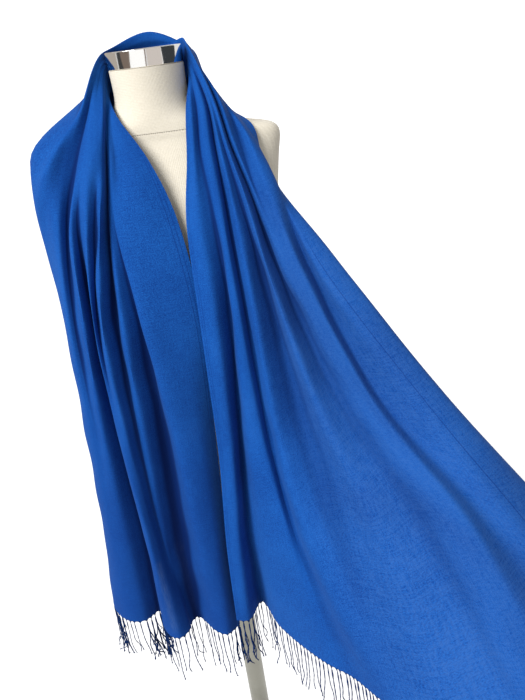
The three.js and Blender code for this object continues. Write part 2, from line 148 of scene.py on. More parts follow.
GATHERED_FOLDS = 12
GATHER_DEPTHS = (1, 1.5, 3.5, 0.5, 0.5)

# Right front, fanned out: collar, yoke, chest, bust, waist, low and hem. Down to the bust the drop runs
# evenly from the inner selvedge to the border fold, and a third number is a fold's own drop.
RIGHT_DROPS = ((80, 66), (140, 115), (210, 165), (330, 265))
BORDER_FOLD = 15
RIGHT_FOLDS = [
    ("inner selvedge", (47, -48), (40, -82), (29, -114), (27, -147),
     (21, -155, 560), (8, -158, 740), (2, -159, 905)),
    ("front fold", (54, -55), (50, -91), (46, -122), (50, -158),
     (43, -164, 552), (30, -166, 731), (24, -161, 905)),
    ("front valley", (61, -46), (59, -82), (64, -112), (70, -138),
     (57, -139, 545), (47, -138, 726), (48, -121, 908)),
    ("second fold", (66, -53), (66, -89), (72, -120), (75, -162),
     (70, -178, 543), (73, -188, 716), (76, -176, 912)),
    ("soft fold", (71, -53), (73, -89), (77, -120), (82, -164),
     (91, -190, 527), (112, -234, 684), (141, -276, 888)),
    ("second valley", (76, -43), (80, -76), (84, -106), (91, -150),
     (101, -178, 520), (122, -228, 670), (177, -322, 868)),
    ("third fold", (79, -54), (86, -91), (93, -122), (102, -170),
     (114, -208, 511), (138, -270, 649), (206, -380, 840)),
    ("third valley", (82, -53), (91, -84), (102, -112), (122, -149),
     (153, -191, 496), (180, -278, 626), (227, -420, 815)),
    ("neck fold", (85, -54), (95, -88), (109, -120), (131, -172),
     (180, -244, 480), (231, -334, 594), (277, -474, 770)),
    ("deep valley", (87, -41), (99, -71), (115, -100), (144, -148),
     (208, -226, 464), (275, -332, 569), (343, -486, 726)),
    ("shoulder fold", (92, -45), (104, -80), (120, -106), (153, -168),
     (228, -248, 457), (297, -358, 557), (365, -499, 715)),
    ("short valley", (96, -34, 74), (113, -66), (124, -102), (161, -172),
     (237, -252, 454), (310, -366, 551), (383, -496, 710)),
    ("wide fold", (99, -28, 77), (123, -75), (138, -114), (171, -176),
     (245, -257, 451), (323, -368, 547), (401, -492, 705)),
    ("border valley", (101, -22, 80), (127, -63, 116), (149, -104), (181, -157),
     (255, -242, 449), (340, -350, 550), (440, -467, 702)),
    ("band", (103, -16, 84), (129, -56, 117), (151, -94, 170), (190, -175),
     (294, -268, 438), (386, -364, 564), (482, -439, 698)),
    ("border fold", (106, -10, 88), (131, -50, 115), (149, -85, 172), (212, -168),
     (322, -256, 430), (429, -340, 573), (523, -396, 692)),
    ("turned under", (108, -4, 91), (132, -46, 114), (147, -78, 171), (209, -152, 268),
     (321, -238, 431), (433, -322, 571), (527, -378, 696)),
    ("outer selvedge", (109, 3, 93), (134, -42, 112), (143, -72, 168), (196, -138, 273),
     (299, -224, 441), (409, -306, 580), (503, -364, 700)),
]

# The shawl as it was cut, in metres, and how finely its surface is drawn.
SHAWL_CUT = (0.66, 1.9)
SHEET_WALL = 0.7
ROW_SPACING = 6.5
LEAST_ROWS = 4
COLUMNS_PER_FOLD = 8

# Slight waves of the soft cloth. They need room between the columns, and the selvedges stay calm.
WAVE_SEED = 5
WAVE_COUNT = 9
WAVES_ACROSS = 9
WAVES_ALONG = 11
WAVE_HEIGHT = 0.7
WAVE_LEAST_ROOM = 1.2
WAVE_ROOM = 2.4
CALM_COLUMNS = 16

# How far to both sides, in columns, a fold's depth is measured, and the width that counts as a full fold.
FOLD_REACH = 6
FOLD_WIDTH = 20
LEAST_STEP = 1e-6
LEAST_VECTOR = 1e-9
SMOOTH_ANGLE = math.radians(50)
TURNED_SMOOTH_ANGLE = math.radians(35)


def left_station(level):
    points = []
    for fold in LEFT_FOLDS:
        place = fold[2 + level]
        if len(place) == 3:
            drop = place[2]
        else:
            drop = HEM_DROP - (HEM_DROP - LEFT_DROPS[level]) * fold[1]
        points.append((place[0], place[1], CAP_TOP - drop))
    return points


def right_station(level):
    inner = RIGHT_FOLDS[0][1 + level][0]
    border = RIGHT_FOLDS[BORDER_FOLD][1 + level][0]
    points = []
    for fold in RIGHT_FOLDS:
        place = fold[1 + level]
        if len(place) == 3:
            drop = place[2]
        else:
            across = (place[0] - inner) / (border - inner)
            drop = RIGHT_DROPS[level][0] + (RIGHT_DROPS[level][1] - RIGHT_DROPS[level][0]) * across
        points.append((place[0], place[1], CAP_TOP - drop))
    return points


def wrap_station(side):
    keys = [row[0] for row in WRAP_FOLDS]
    folds = np.arange(len(LEFT_FOLDS))
    points = np.stack([np.interp(folds, keys, [row[1 + side][axis] for row in WRAP_FOLDS])
                       for axis in range(3)], axis=1)
    points[:, 2] = CAP_TOP - points[:, 2]
    tucked = points[1:GATHERED_FOLDS:2, :2]
    tucked -= tucked / np.linalg.norm(tucked, axis=1, keepdims=True) * GATHER_DEPTHS[side]
    return points


def smooth_path(stations, positions):
    """Points at these positions of the smooth curves through the stations; position 0 is the first one."""
    stations = np.asarray(stations, float)
    first = 2 * stations[0] - stations[1]
    last = 2 * stations[-1] - stations[-2]
    padded = np.concatenate([first[None], stations, last[None]])
    start = np.clip(np.floor(positions).astype(int), 0, len(stations) - 2)
    share = (positions - start).reshape((-1,) + (1,) * (stations.ndim - 1))
    before, here, ahead, after = (padded[start + i] for i in range(4))

    def knot(a, b):
        return np.maximum(np.linalg.norm(b - a, axis=-1, keepdims=True), LEAST_STEP) ** 0.5

    gap_0, gap_1, gap_2 = knot(before, here), knot(here, ahead), knot(ahead, after)
    leave = (here - before) / gap_0 - (ahead - before) / (gap_0 + gap_1) + (ahead - here) / gap_1
    arrive = (ahead - here) / gap_1 - (after - here) / (gap_1 + gap_2) + (after - ahead) / gap_2
    leave = leave * gap_1
    arrive = arrive * gap_1
    square = -3 * here + 3 * ahead - 2 * leave - arrive
    cube = 2 * here - 2 * ahead + leave + arrive
    return here + share * (leave + share * (square + share * cube))


def unit(vectors):
    return vectors / np.maximum(np.linalg.norm(vectors, axis=-1, keepdims=True), LEAST_VECTOR)


def directions(grid, axis):
    """At each point of a grid, the mean of the directions into it and out of it along one axis."""
    steps = unit(np.diff(grid, axis=axis))
    ends = [steps.take([0], axis=axis), steps, steps.take([-1], axis=axis)]
    both = np.concatenate(ends, axis=axis)
    count = grid.shape[axis]
    return unit(both.take(range(count), axis=axis) + both.take(range(1, count + 1), axis=axis))


def wall_directions(grid):
    return unit(np.cross(directions(grid, 1), directions(grid, 0)))


def shawl_surface():
    """The whole shawl, hem to hem, as a grid of points in millimetres."""
    stations = [left_station(level) for level in range(len(LEFT_DROPS))]
    stations += [wrap_station(side) for side in range(len(GATHER_DEPTHS))]
    stations += [right_station(level) for level in range(len(RIGHT_FOLDS[0]) - 1)]
    stations = np.array(stations, float)
    lengths = np.linalg.norm(np.diff(stations, axis=0), axis=2).mean(axis=1)
    positions = [0.0]
    for i, length in enumerate(lengths):
        steps = max(LEAST_ROWS, round(length / ROW_SPACING))
        positions += [i + step / steps for step in range(1, steps + 1)]
    fold_lines = smooth_path(stations, np.array(positions))
    folds = len(LEFT_FOLDS) - 1
    across = np.linspace(0, folds, folds * COLUMNS_PER_FOLD + 1)
    return smooth_path(fold_lines.transpose(1, 0, 2), across).transpose(1, 0, 2)


def soft_waves(grid, random):
    """The grid with slight unevenness, as soft cloth has, fading out where the folds lie close."""
    rows, columns = grid.shape[:2]
    across = np.linspace(0, SHAWL_CUT[0], columns)[None, :]
    along = np.linspace(0, SHAWL_CUT[1], rows)[:, None]
    height = np.zeros((rows, columns))
    for _ in range(WAVE_COUNT):
        wave_across, wave_along = random.uniform(-1, 1, 2) * (WAVES_ACROSS, WAVES_ALONG)
        height += np.sin(TURN * (wave_across * across + wave_along * along) + random.uniform(0, TURN))
    spacing = np.linalg.norm(np.gradient(grid, axis=1), axis=2)
    from_selvedge = np.minimum(np.arange(columns), np.arange(columns)[::-1])
    room = np.clip((spacing - WAVE_LEAST_ROOM) / WAVE_ROOM, 0, 1)
    room *= np.clip(from_selvedge / CALM_COLUMNS, 0, 1)
    height *= room * WAVE_HEIGHT / math.sqrt(WAVE_COUNT)
    return grid + wall_directions(grid) * height[..., None]


def fold_depths(grid):
    """How deep each point lies between its neighbours across the folds; narrow folds count for more."""
    padded = np.pad(grid, ((0, 0), (FOLD_REACH, FOLD_REACH), (0, 0)), mode="edge")
    columns = grid.shape[1]
    before = padded[:, :columns]
    after = padded[:, 2 * FOLD_REACH:]
    sunk = (((before + after) / 2 - grid) * wall_directions(grid)).sum(axis=2)
    width = np.linalg.norm(after - before, axis=2)
    return sunk / np.sqrt(np.maximum(width, 1) * FOLD_WIDTH)


def mesh_piece(name, points, faces, material, uvs=None, sharp=SMOOTH_ANGLE):
    """A mesh object in the row frame, from points in millimetres."""
    mesh = bpy.data.meshes.new(name)
    mesh.from_pydata([tuple(p) for p in np.asarray(points) * MM], [], faces)
    mesh.materials.append(material)
    mesh.polygons.foreach_set("use_smooth", [True] * len(mesh.polygons))
    mesh.set_sharp_from_angle(angle=sharp)
    if uvs is not None:
        layer = mesh.uv_layers.new(name="weave")
        corners = np.empty(len(mesh.loops), dtype=np.int32)
        mesh.loops.foreach_get("vertex_index", corners)
        layer.data.foreach_set("uv", np.asarray(uvs)[corners].ravel())
    piece = add_object(name, mesh)
    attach(piece, "root")
    return piece


def band_faces(rings, sides):
    """Faces between equal rings laid one after the other."""
    faces = []
    for r in range(rings - 1):
        for i in range(sides):
            j = (i + 1) % sides
            faces.append((r * sides + i, r * sides + j, (r + 1) * sides + j, (r + 1) * sides + i))
    return faces


def ring_faces(rings, sides):
    """Faces of a closed body of such rings."""
    faces = band_faces(rings, sides)
    faces.append(tuple(range(sides))[::-1])
    faces.append(tuple((rings - 1) * sides + i for i in range(sides)))
    return faces


def wall(grid, thickness, uvs):
    """A closed wall of even thickness round a grid of points: points, faces and weave coordinates."""
    rows, columns = grid.shape[:2]
    normals = wall_directions(grid)
    half = rows * columns
    points = np.concatenate([(grid + side * normals * thickness / 2).reshape(-1, 3) for side in (1, -1)])
    number = np.arange(half).reshape(rows, columns)
    corners = np.stack([number[:-1, :-1], number[1:, :-1], number[1:, 1:], number[:-1, 1:]], axis=-1)
    outside = corners.reshape(-1, 4)
    inside = outside[:, ::-1] + half
    border = [*number[0, :], *number[1:, -1], *number[-1, -2::-1], *number[-2:0:-1, 0]]
    rim = [(a, b, b + half, a + half) for a, b in zip(border, border[1:] + border[:1])]
    faces = outside.tolist() + inside.tolist() + [tuple(int(i) for i in face) for face in rim]
    return points, faces, np.concatenate([uvs.reshape(-1, 2)] * 2)


# Shader maths.
class Socket:
    """One output socket; arithmetic on it adds Math nodes."""

    def __init__(self, shader, output):
        self.shader = shader
        self.output = output

    def math(self, operation, *values):
        return self.shader.node("ShaderNodeMath", {"operation": operation}, dict(enumerate(values)))

    def __add__(self, other):
        return self.math("ADD", self, other)

    def __sub__(self, other):
        return self.math("SUBTRACT", self, other)

    def __mul__(self, other):
        return self.math("MULTIPLY", self, other)

    def __truediv__(self, other):
        return self.math("DIVIDE", self, other)

    def __pow__(self, other):
        return self.math("POWER", self, other)

    def __rsub__(self, other):
        return self.math("SUBTRACT", other, self)

    __radd__ = __add__
    __rmul__ = __mul__

    def sine(self):
        return self.math("SINE", self)

    def wave(self):
        """Even waves between 0 and 1."""
        return self.sine() * 0.5 + 0.5

    def absolute(self):
        return self.math("ABSOLUTE", self)

    def ramp(self, low, high):
        """0 below low, 1 above high and smooth between."""
        settings = {"interpolation_type": "SMOOTHSTEP"}
        inputs = {"Value": self, "From Min": low, "From Max": high}
        return self.shader.node("ShaderNodeMapRange", settings, inputs)

    def bump(self, reach, centre):
        """1 at centre, fading to 0 at reach."""
        return 1 - (self - centre).absolute().ramp(0, reach)


class Shader:
    """A material and its one Principled shader."""

    def __init__(self, name, **constants):
        self.material = bpy.data.materials.new(name)
        self.material.use_nodes = True
        self.tree = self.material.node_tree
        self.surface = self.tree.nodes["Principled BSDF"]
        self.set(**constants)

    def node(self, kind, settings=None, inputs=None, output=0):
        made = self.tree.nodes.new(kind)
        for name, value in (settings or {}).items():
            setattr(made, name, value)
        for key, value in (inputs or {}).items():
            self.feed(made.inputs[key], value)
        return Socket(self, made.outputs[output])

    def feed(self, socket, value):
        if isinstance(value, Socket):
            self.tree.links.new(value.output, socket)
        else:
            socket.default_value = value

    def set(self, **values):
        for name, value in values.items():
            self.feed(self.surface.inputs[name.replace("_", " ")], value)

    def weave(self):
        """Across and along the cloth, in metres."""
        uv = self.node("ShaderNodeUVMap", {"uv_map": "weave"})
        return uv, self.split(uv)

    def place(self):
        return self.node("ShaderNodeTexCoord", output="Object")

    def split(self, vector):
        made = self.node("ShaderNodeSeparateXYZ", inputs={"Vector": vector}).output.node
        return [Socket(self, output) for output in made.outputs]

    def join(self, x, y, z=0.0):
        return self.node("ShaderNodeCombineXYZ", inputs={0: x, 1: y, 2: z})

    def noise(self, vector, scale, detail=2.0, roughness=0.5):
        inputs = {"Vector": vector, "Scale": scale, "Detail": detail, "Roughness": roughness}
        return self.node("ShaderNodeTexNoise", inputs=inputs)

    def mix(self, factor, a, b):
        settings = {"data_type": "RGBA", "clamp_factor": True}
        return self.node("ShaderNodeMix", settings, {"Factor": factor, 6: a, 7: b}, output=2)

    def relief(self, height, distance, strength=1.0):
        inputs = {"Height": height, "Distance": distance, "Strength": strength}
        self.set(Normal=self.node("ShaderNodeBump", inputs=inputs))


# Colours: linear red, green and blue, and opacity.
BLUE = (0.003, 0.055, 0.270, 1)
BLUE_LIGHT = (0.010, 0.108, 0.415, 1)
BLUE_DEEP = (0.001, 0.021, 0.145, 1)
# Painted light showing through the cloth.
BLUE_LIT_THROUGH = (0.030, 0.090, 0.285, 1)
# Painted shade for the deep folds.
BLUE_PAINTED_SHADE = (0.0003, 0.008, 0.070, 1)
BLUE_SHEEN = (0.2, 0.42, 1, 1)
# Painted light for the streaks near the left hem.
GREY_LIT_THROUGH = (0.055, 0.10, 0.22, 1)
YARN_DARK = (0.001, 0.006, 0.03, 1)
YARN_LIGHT = (0.003, 0.032, 0.15, 1)
JERSEY_DARK = (0.46, 0.40, 0.30, 1)
JERSEY_LIGHT = (0.86, 0.81, 0.70, 1)
JERSEY_CREAM = (0.71, 0.655, 0.54, 1)
STITCH_BROWN = (0.16, 0.13, 0.10, 1)
CHROME_GREY = (0.80, 0.79, 0.77, 1)
STEEL_DARK = (0.17, 0.17, 0.145, 1)
STEEL_LIGHT = (0.38, 0.37, 0.32, 1)
PAPER_GREY = (0.5, 0.5, 0.5, 1)
GLOW_WHITE = (1, 1, 1, 1)
BLACK = (0, 0, 0, 1)

# Weave of the shawl: the twill's rise and slant in metres, grain scales of the yarns, and how much each of
# them lightens the blue or stands proud.
TWILL_PERIOD = 0.0036
TWILL_SLANT = (0.8, 0.6)
TWILL_DRIFT_SCALE = 22
TWILL_DRIFT = 0.012
TWILL_SHOWS = (0.35, 0.6)
SLUB_FINE = 400
SLUB_LONG = 60
HEATHER_SCALE = 700
FUZZ_SCALE = 1500
CLOUD_SCALE = 7
GRAIN_RANGE = (0.3, 0.7)
RIB_TONE = 0.08
SLUB_TONE = 0.2
HEATHER_TONE = 0.85
FUZZ_TONE = 0.2
TONE_SHIFT = 0.23
PLAIN_SHARE = 0.3
RIB_HEIGHT = 0.08
SLUB_HEIGHT = 0.2
HEATHER_HEIGHT = 0.12
LINE_DIP = 1.2

# Where the blue changes, with painted shade towards the left hem and painted light through open weave and
# thin patches: pairs are first and last metre along the cloth, or across it.
END_PAINTED_SHADE = 0.45
END_PAINTED_SHADE_ALONG = (0.1, 0.6)
OPEN_WEAVE = 0.55
OPEN_WEAVE_ALONG = (1.2, 1.55)
OPEN_WEAVE_ACROSS = (0.2, 0.32)
THIN_CLOUDS = 0.15
THIN_CLOUD_RANGE = (0.55, 0.8)

# Folds: how deep one has to lie for painted shade, and how that painted shade eases in the fan and towards
# the right end.
FOLD_PAINTED_SHADE = 0.85
FOLD_DEPTH_RANGE = (0.03, 0.38)
FAN_ALONG = (1.15, 1.4)
FAN_ACROSS = (0.37, 0.41)
FAN_EASE = 0.65
RIGHT_END_ALONG = (1.42, 1.66)
RIGHT_END_EASE = 0.6

# Thin places near the left hem, where light comes through: middle and reach across, first and last along.
THIN_STREAKS = ((0.250, 0.030, 0.0, 0.16), (0.128, 0.018, 0.0, 0.17))
STREAK_FADE_IN = 0.03
STREAK_FADE_OUT = 0.01
STREAK_SHARE = 0.5

# Firm lines inside each selvedge, and a crease by the border with painted shade along it, in folds from the
# inner selvedge, with the metres along the cloth over which it fades in.
SELVEDGE_LINES = (0.0055, 0.010)
SELVEDGE_LINE_WIDTH = 0.0011
SELVEDGE_LINE_TONE = 0.5
CREASE_FOLD = 14.2
CREASE_LINE = CREASE_FOLD / (len(RIGHT_FOLDS) - 1) * SHAWL_CUT[0]
CREASE_LINE_WIDTH = 0.0012
CREASE_LINE_STARTS = (1.42, 1.50)
CREASE_SHADE_TONE = 0.6


def cloth_material():
    """Soft twill: slanted ribs, slubby heathered yarn, painted shade in folds, by a crease and at the left
    hem, painted light through thin cloth, a firm selvedge.
    """
    shader = Shader("pashmina_twill", Sheen_Weight=0.13, Sheen_Roughness=0.4, Sheen_Tint=BLUE_SHEEN,
                    Specular_IOR_Level=0.06)
    uv, (across, along, _) = shader.weave()
    drift = shader.noise(uv, TWILL_DRIFT_SCALE, 2) * TWILL_DRIFT
    slant = across * TWILL_SLANT[0] + along * TWILL_SLANT[1] + drift
    cloud = shader.noise(uv, CLOUD_SCALE, 3)
    rib = ((slant * (TURN / TWILL_PERIOD)).wave() - 0.5) * cloud.ramp(*TWILL_SHOWS)
    weft = shader.join(across * SLUB_LONG, along * SLUB_FINE)
    warp = shader.join(across * SLUB_FINE, along * SLUB_LONG)
    slub_across = shader.noise(weft, 1, 3, 0.6).ramp(*GRAIN_RANGE)
    slub_along = shader.noise(warp, 1, 3, 0.6).ramp(*GRAIN_RANGE)
    slubs = slub_across + slub_along
    heather = shader.noise(uv, HEATHER_SCALE, 2, 0.7).ramp(*GRAIN_RANGE)
    fuzz = shader.noise(uv, FUZZ_SCALE, 2)

    yarns = rib * RIB_TONE + slubs * SLUB_TONE + heather * HEATHER_TONE + fuzz * FUZZ_TONE
    colour = shader.mix(yarns + (cloud - 0.5) - TONE_SHIFT, BLUE_DEEP, BLUE_LIGHT)
    colour = shader.mix(PLAIN_SHARE, colour, BLUE)
    # Painted shade: the blue darkens towards the left hem.
    colour = shader.mix((1 - along.ramp(*END_PAINTED_SHADE_ALONG)) * END_PAINTED_SHADE, colour, BLUE_DEEP)
    # Painted light: a lighter, greyer blue where light shows through the open weave on the right front and
    # through scattered patches.
    open_weave = slubs * 0.5 * along.ramp(*OPEN_WEAVE_ALONG) * across.ramp(*OPEN_WEAVE_ACROSS)
    thin = open_weave * OPEN_WEAVE + cloud.ramp(*THIN_CLOUD_RANGE) * THIN_CLOUDS
    colour = shader.mix(thin, colour, BLUE_LIT_THROUGH)
    # Painted light: lighter, greyer streaks where light shows through the cloth near the left hem.
    for centre, reach, begins, ends in THIN_STREAKS:
        begun = along.ramp(begins, begins + STREAK_FADE_IN)
        ended = along.ramp(ends, ends + STREAK_FADE_OUT)
        streak = across.bump(reach, centre) * begun * (1 - ended)
        colour = shader.mix(streak * slub_along * STREAK_SHARE, colour, GREY_LIT_THROUGH)

    # Painted shade: the blue darkens where the cloth lies deep between its folds, less in the fan and at
    # the right end.
    depth = shader.node("ShaderNodeAttribute", {"attribute_name": "fold_depth"}, output=2)
    fanned = along.ramp(*FAN_ALONG) * across.ramp(*FAN_ACROSS)
    eased = (1 - fanned * FAN_EASE) * (1 - along.ramp(*RIGHT_END_ALONG) * RIGHT_END_EASE)
    colour = shader.mix(depth.ramp(*FOLD_DEPTH_RANGE) * eased * FOLD_PAINTED_SHADE, colour, BLUE_PAINTED_SHADE)

    places = [*SELVEDGE_LINES, *(SHAWL_CUT[0] - line for line in SELVEDGE_LINES)]
    selvedge_line = sum(across.bump(SELVEDGE_LINE_WIDTH, place) for place in places)
    # Painted shade along the crease by the border.
    crease_shade = across.bump(CREASE_LINE_WIDTH, CREASE_LINE) * along.ramp(*CREASE_LINE_STARTS)
    line = selvedge_line * SELVEDGE_LINE_TONE + crease_shade * CREASE_SHADE_TONE
    colour = shader.mix(line, colour, BLUE_DEEP)
    shader.set(Base_Color=colour, Roughness=0.78 + fuzz * 0.14)
    height = rib * RIB_HEIGHT + slubs * SLUB_HEIGHT + heather * HEATHER_HEIGHT - line * LINE_DIP
    shader.relief(height, 0.0006, 0.4)
    return shader.material


def yarn_material():
    """Twisted fringe yarn, darker than the cloth."""
    shader = Shader("fringe_yarn", Specular_IOR_Level=0.08)
    place = shader.place()
    fleck = shader.noise(place, 900, 2)
    shader.set(Base_Color=shader.mix(fleck, YARN_DARK, YARN_LIGHT), Roughness=0.8 + fleck * 0.15)
    shader.relief(shader.noise(place, 2400, 2), 0.0003, 0.6)
    return shader.material


# Cover of the form: wales and stitches counted round it, and heights in metres.
WALES_ROUND = 170
COURSE_HEIGHT = 0.0019
STITCHES_ROUND = 110
SEAM_DROP = 104
SEAM_WIDTH = 0.0011


def jersey_material():
    """Cream knit cover: fine wales, flecked yarn, faint pull lines and a stitched seam below the neck."""
    shader = Shader("cream_jersey", Sheen_Weight=0.12, Sheen_Roughness=0.5, Specular_IOR_Level=0.15)
    place = shader.place()
    x, y, z = shader.split(place)
    angle = shader.node("ShaderNodeMath", {"operation": "ARCTAN2"}, {0: y, 1: x})
    drift = shader.noise(place, 9, 2)
    wale = ((angle + drift * 0.25) * WALES_ROUND).wave()
    course = ((z + drift * 0.012) * (TURN / COURSE_HEIGHT)).wave()
    fleck = shader.noise(place, 420, 4, 0.7)
    fine = shader.noise(place, 1500, 2)
    pull = shader.noise(shader.join(x * 6, y * 6, z * 60), 1, 2)
    tone = fleck * 0.8 + fine * 0.2 + wale * 0.16 + course * 0.16 - 0.15
    colour = shader.mix(tone, JERSEY_DARK, JERSEY_LIGHT)
    colour = shader.mix(0.4, colour, JERSEY_CREAM)
    stitch = (angle * STITCHES_ROUND).sine().ramp(-0.6, 0.3) * 0.6 + 0.4
    seam = z.bump(SEAM_WIDTH, (CAP_TOP - SEAM_DROP) * MM) * stitch
    colour = shader.mix(seam * 0.6, colour, STITCH_BROWN)
    shader.set(Base_Color=colour, Roughness=0.85 + fleck * 0.1)
    shader.relief(wale * 0.3 + course * 0.3 + fleck * 0.6 + pull * 1.2 - seam * 2.5, 0.0006, 0.6)
    return shader.material


def chrome_material():
    """Polished by hand: faint smears, and long soft waves that bend what it mirrors."""
    shader = Shader("polished_chrome", Metallic=1.0)
    place = shader.place()
    x, y, z = shader.split(place)
    smear = shader.noise(place, 28, 3)
    shader.set(Base_Color=CHROME_GREY, Roughness=0.04 + smear * 0.10)
    shader.relief(shader.noise(shader.join(x * 34, y * 34, z * 14), 1, 1), 0.003, 0.7)
    return shader.material


def steel_material():
    """Brushed round the part: long fine scratches and small dull patches."""
    shader = Shader("brushed_steel", Metallic=1.0)
    place = shader.place()
    x, y, z = shader.split(place)
    scratch = shader.noise(shader.join(x * 30, y * 30, z * 1800), 1, 3, 0.6)
    dull = shader.noise(place, 14, 3)
    shader.set(Base_Color=shader.mix(dull, STEEL_DARK, STEEL_LIGHT))
    shader.set(Roughness=0.28 + scratch * 0.12 + dull * 0.1)
    shader.relief(scratch, 0.0002, 0.4)
    return shader.material


def sweep_material():
    """Pale paper that glows a little, so that it stays near white all round."""
    shader = Shader("sweep_paper", Specular_IOR_Level=0.0, Roughness=1.0, Emission_Strength=0.55)
    shader.set(Base_Color=PAPER_GREY, Emission_Color=GLOW_WHITE)
    return shader.material


def board_material(name, shade):
    shader = Shader(name, Specular_IOR_Level=0.0, Emission_Strength=1.0)
    shader.set(Base_Color=BLACK, Emission_Color=(*shade, 1))
    return shader.material


CLOTH = cloth_material()
YARN = yarn_material()
JERSEY = jersey_material()
CHROME = chrome_material()
STEEL = steel_material()

# The shawl.
SURFACE = soft_waves(shawl_surface(), np.random.default_rng(WAVE_SEED))


def weave_coordinates():
    across = np.linspace(0, SHAWL_CUT[0], SURFACE.shape[1])
    steps = np.linalg.norm(np.diff(SURFACE, axis=0), axis=2).mean(axis=1) * MM
    along = np.concatenate([[0], np.cumsum(steps)])
    return np.stack(np.broadcast_arrays(across[None, :], along[:, None]), axis=-1)


WEAVE = weave_coordinates()
SHAWL_POINTS, SHAWL_FACES, SHAWL_WEAVE = wall(SURFACE, SHEET_WALL, WEAVE)
SHAWL = mesh_piece("shawl", SHAWL_POINTS, SHAWL_FACES, CLOTH, SHAWL_WEAVE)
# How deep each point lies between its folds, which the cloth's colour uses for painted shade.
FOLD_DEPTHS = fold_depths(SURFACE).ravel()
DEPTH_LAYER = SHAWL.data.attributes.new("fold_depth", "FLOAT", "POINT")
DEPTH_LAYER.data.foreach_set("value", np.concatenate([FOLD_DEPTHS, -FOLD_DEPTHS]))
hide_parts("shawl_left_front", "shawl_neck", "shawl_right_front")

# Hem strip: the last threads draw together into scallops, one to each knot. Millimetres.
STRAND_SPACING = 10
SPACING_VARIATION = 0.17
END_KNOTS = (0.0015, 0.9985)
SCALLOP_DEPTH = 11
SCALLOP_VARIATION = (0.7, 1.1)
SCALLOP_SAMPLES = 12
SCALLOP_LEAST = 0.6
STRIP_WALL = 0.9 * SHEET_WALL
STRIP_OVERLAP = 0.5
STRIP_MIDDLE = 0.45
DOWNWARD_PULL = np.array([0, 0, -0.6])

# A strand: two plies twisted together, knotted at the top and loose at the tip.
STRAND_LENGTH = 90
LENGTH_VARIATION = (0.75, 1.12)
PLY_RADIUS = 0.62
PLY_OFFSET = 0.3
PLY_SIDES = 5
PLY_RINGS = 38
TWIST_PITCH = 24
KNOT_RADIUS = 1.1
KNOT_PLACE = 0.05
KNOT_REACH = 0.035
KNOT_INSIDE = 2.5
TIP_STARTS = 0.88
TIP_REACH = 0.12
TIP_OPENING = 1.6
HANGING_SHARE = 0.84
SETTLING = 5
SWAY_TURNS = (0.7, 1.6)
SWAY_RATIO = 0.8
LEAN_POWER = 1.6
PLAIN_CURL = (0.6, 3.2)
PLAIN_LEAN = 4
PLAIN_THICKNESS = (0.8, 1.1)
FORWARD_LEAN = 2.5
SIDEWAYS_LIFT = 0.4

# Ruffled stretches of a hem: first and last share of it, curl and sideways lean in mm, yarns a knot.
LEFT_SEED = 11
LEFT_TANGLES = [(0.0, 0.03, 3, 4, 3), (0.41, 0.53, 5, 7, 5), (0.6, 0.65, 3, 4, 3)]
RIGHT_SEED = 12
RIGHT_TANGLES = [(0.0, 0.04, 3, 4, 3)]
TANGLE_CURL = (0.3, 1)
TANGLE_THICKNESS = 1.2
LOOSE_LOOPS = 0.14
LOOSE_PULL = 2.6
LOOSE_THINNING = 0.3


def line_shares(line):
    """How far along a line each of its points lies, from 0 to 1, and the line's length."""
    steps = np.linalg.norm(np.diff(line, axis=0), axis=1)
    walked = np.concatenate([[0], np.cumsum(steps)])
    return walked / walked[-1], walked[-1]


def tube(path, radii, sides):
    """Points and faces of one closed tube round a path."""
    ahead = unit(np.gradient(path, axis=0))
    side = unit(np.cross(ahead, (0.31, 0.94, 0.12)))
    other = np.cross(ahead, side)
    angles = np.arange(sides) / sides * TURN
    ring = side[:, None] * np.cos(angles)[None, :, None] + other[:, None] * np.sin(angles)[None, :, None]
    points = (path[:, None] + ring * np.asarray(radii)[:, None, None]).reshape(-1, 3)
    return points, ring_faces(len(path), sides)


def strand(root, start, length, lean, curl, thickness, random):
    """Two plies twisted round one hanging path, knotted at the top and loose at the tip."""
    share = np.linspace(0, 1, PLY_RINGS)[:, None]
    phase = random.uniform(0, TURN, 2)
    turns = random.uniform(*SWAY_TURNS) * TURN
    sway = np.concatenate([np.sin(share * turns + phase[0]) - np.sin(phase[0]),
                           np.sin(share * turns * SWAY_RATIO + phase[1]) - np.sin(phase[1]),
                           np.zeros_like(share)], axis=1)
    settle = (1 - np.exp(-share * SETTLING)) / SETTLING
    down = np.array([0, 0, -HANGING_SHARE])
    path = root + length * (down * (share + settle) + start * settle)
    path = path + lean * share ** LEAN_POWER + sway * curl * share
    angle = share[:, 0] * length / TWIST_PITCH * TURN + phase[0]
    opening = 1 + TIP_OPENING * np.clip(share[:, 0] - TIP_STARTS, 0, 1) / TIP_REACH
    spread = PLY_OFFSET * thickness * opening
    swing = np.stack([np.cos(angle), np.sin(angle), np.zeros_like(angle)], axis=1) * spread[:, None]
    knot = (KNOT_RADIUS / PLY_RADIUS - 1) * np.exp(-((share[:, 0] - KNOT_PLACE) / KNOT_REACH) ** 2)
    radii = PLY_RADIUS * thickness * (1 + knot)
    return [tube(path + swing * way, radii, PLY_SIDES) for way in (1, -1)]


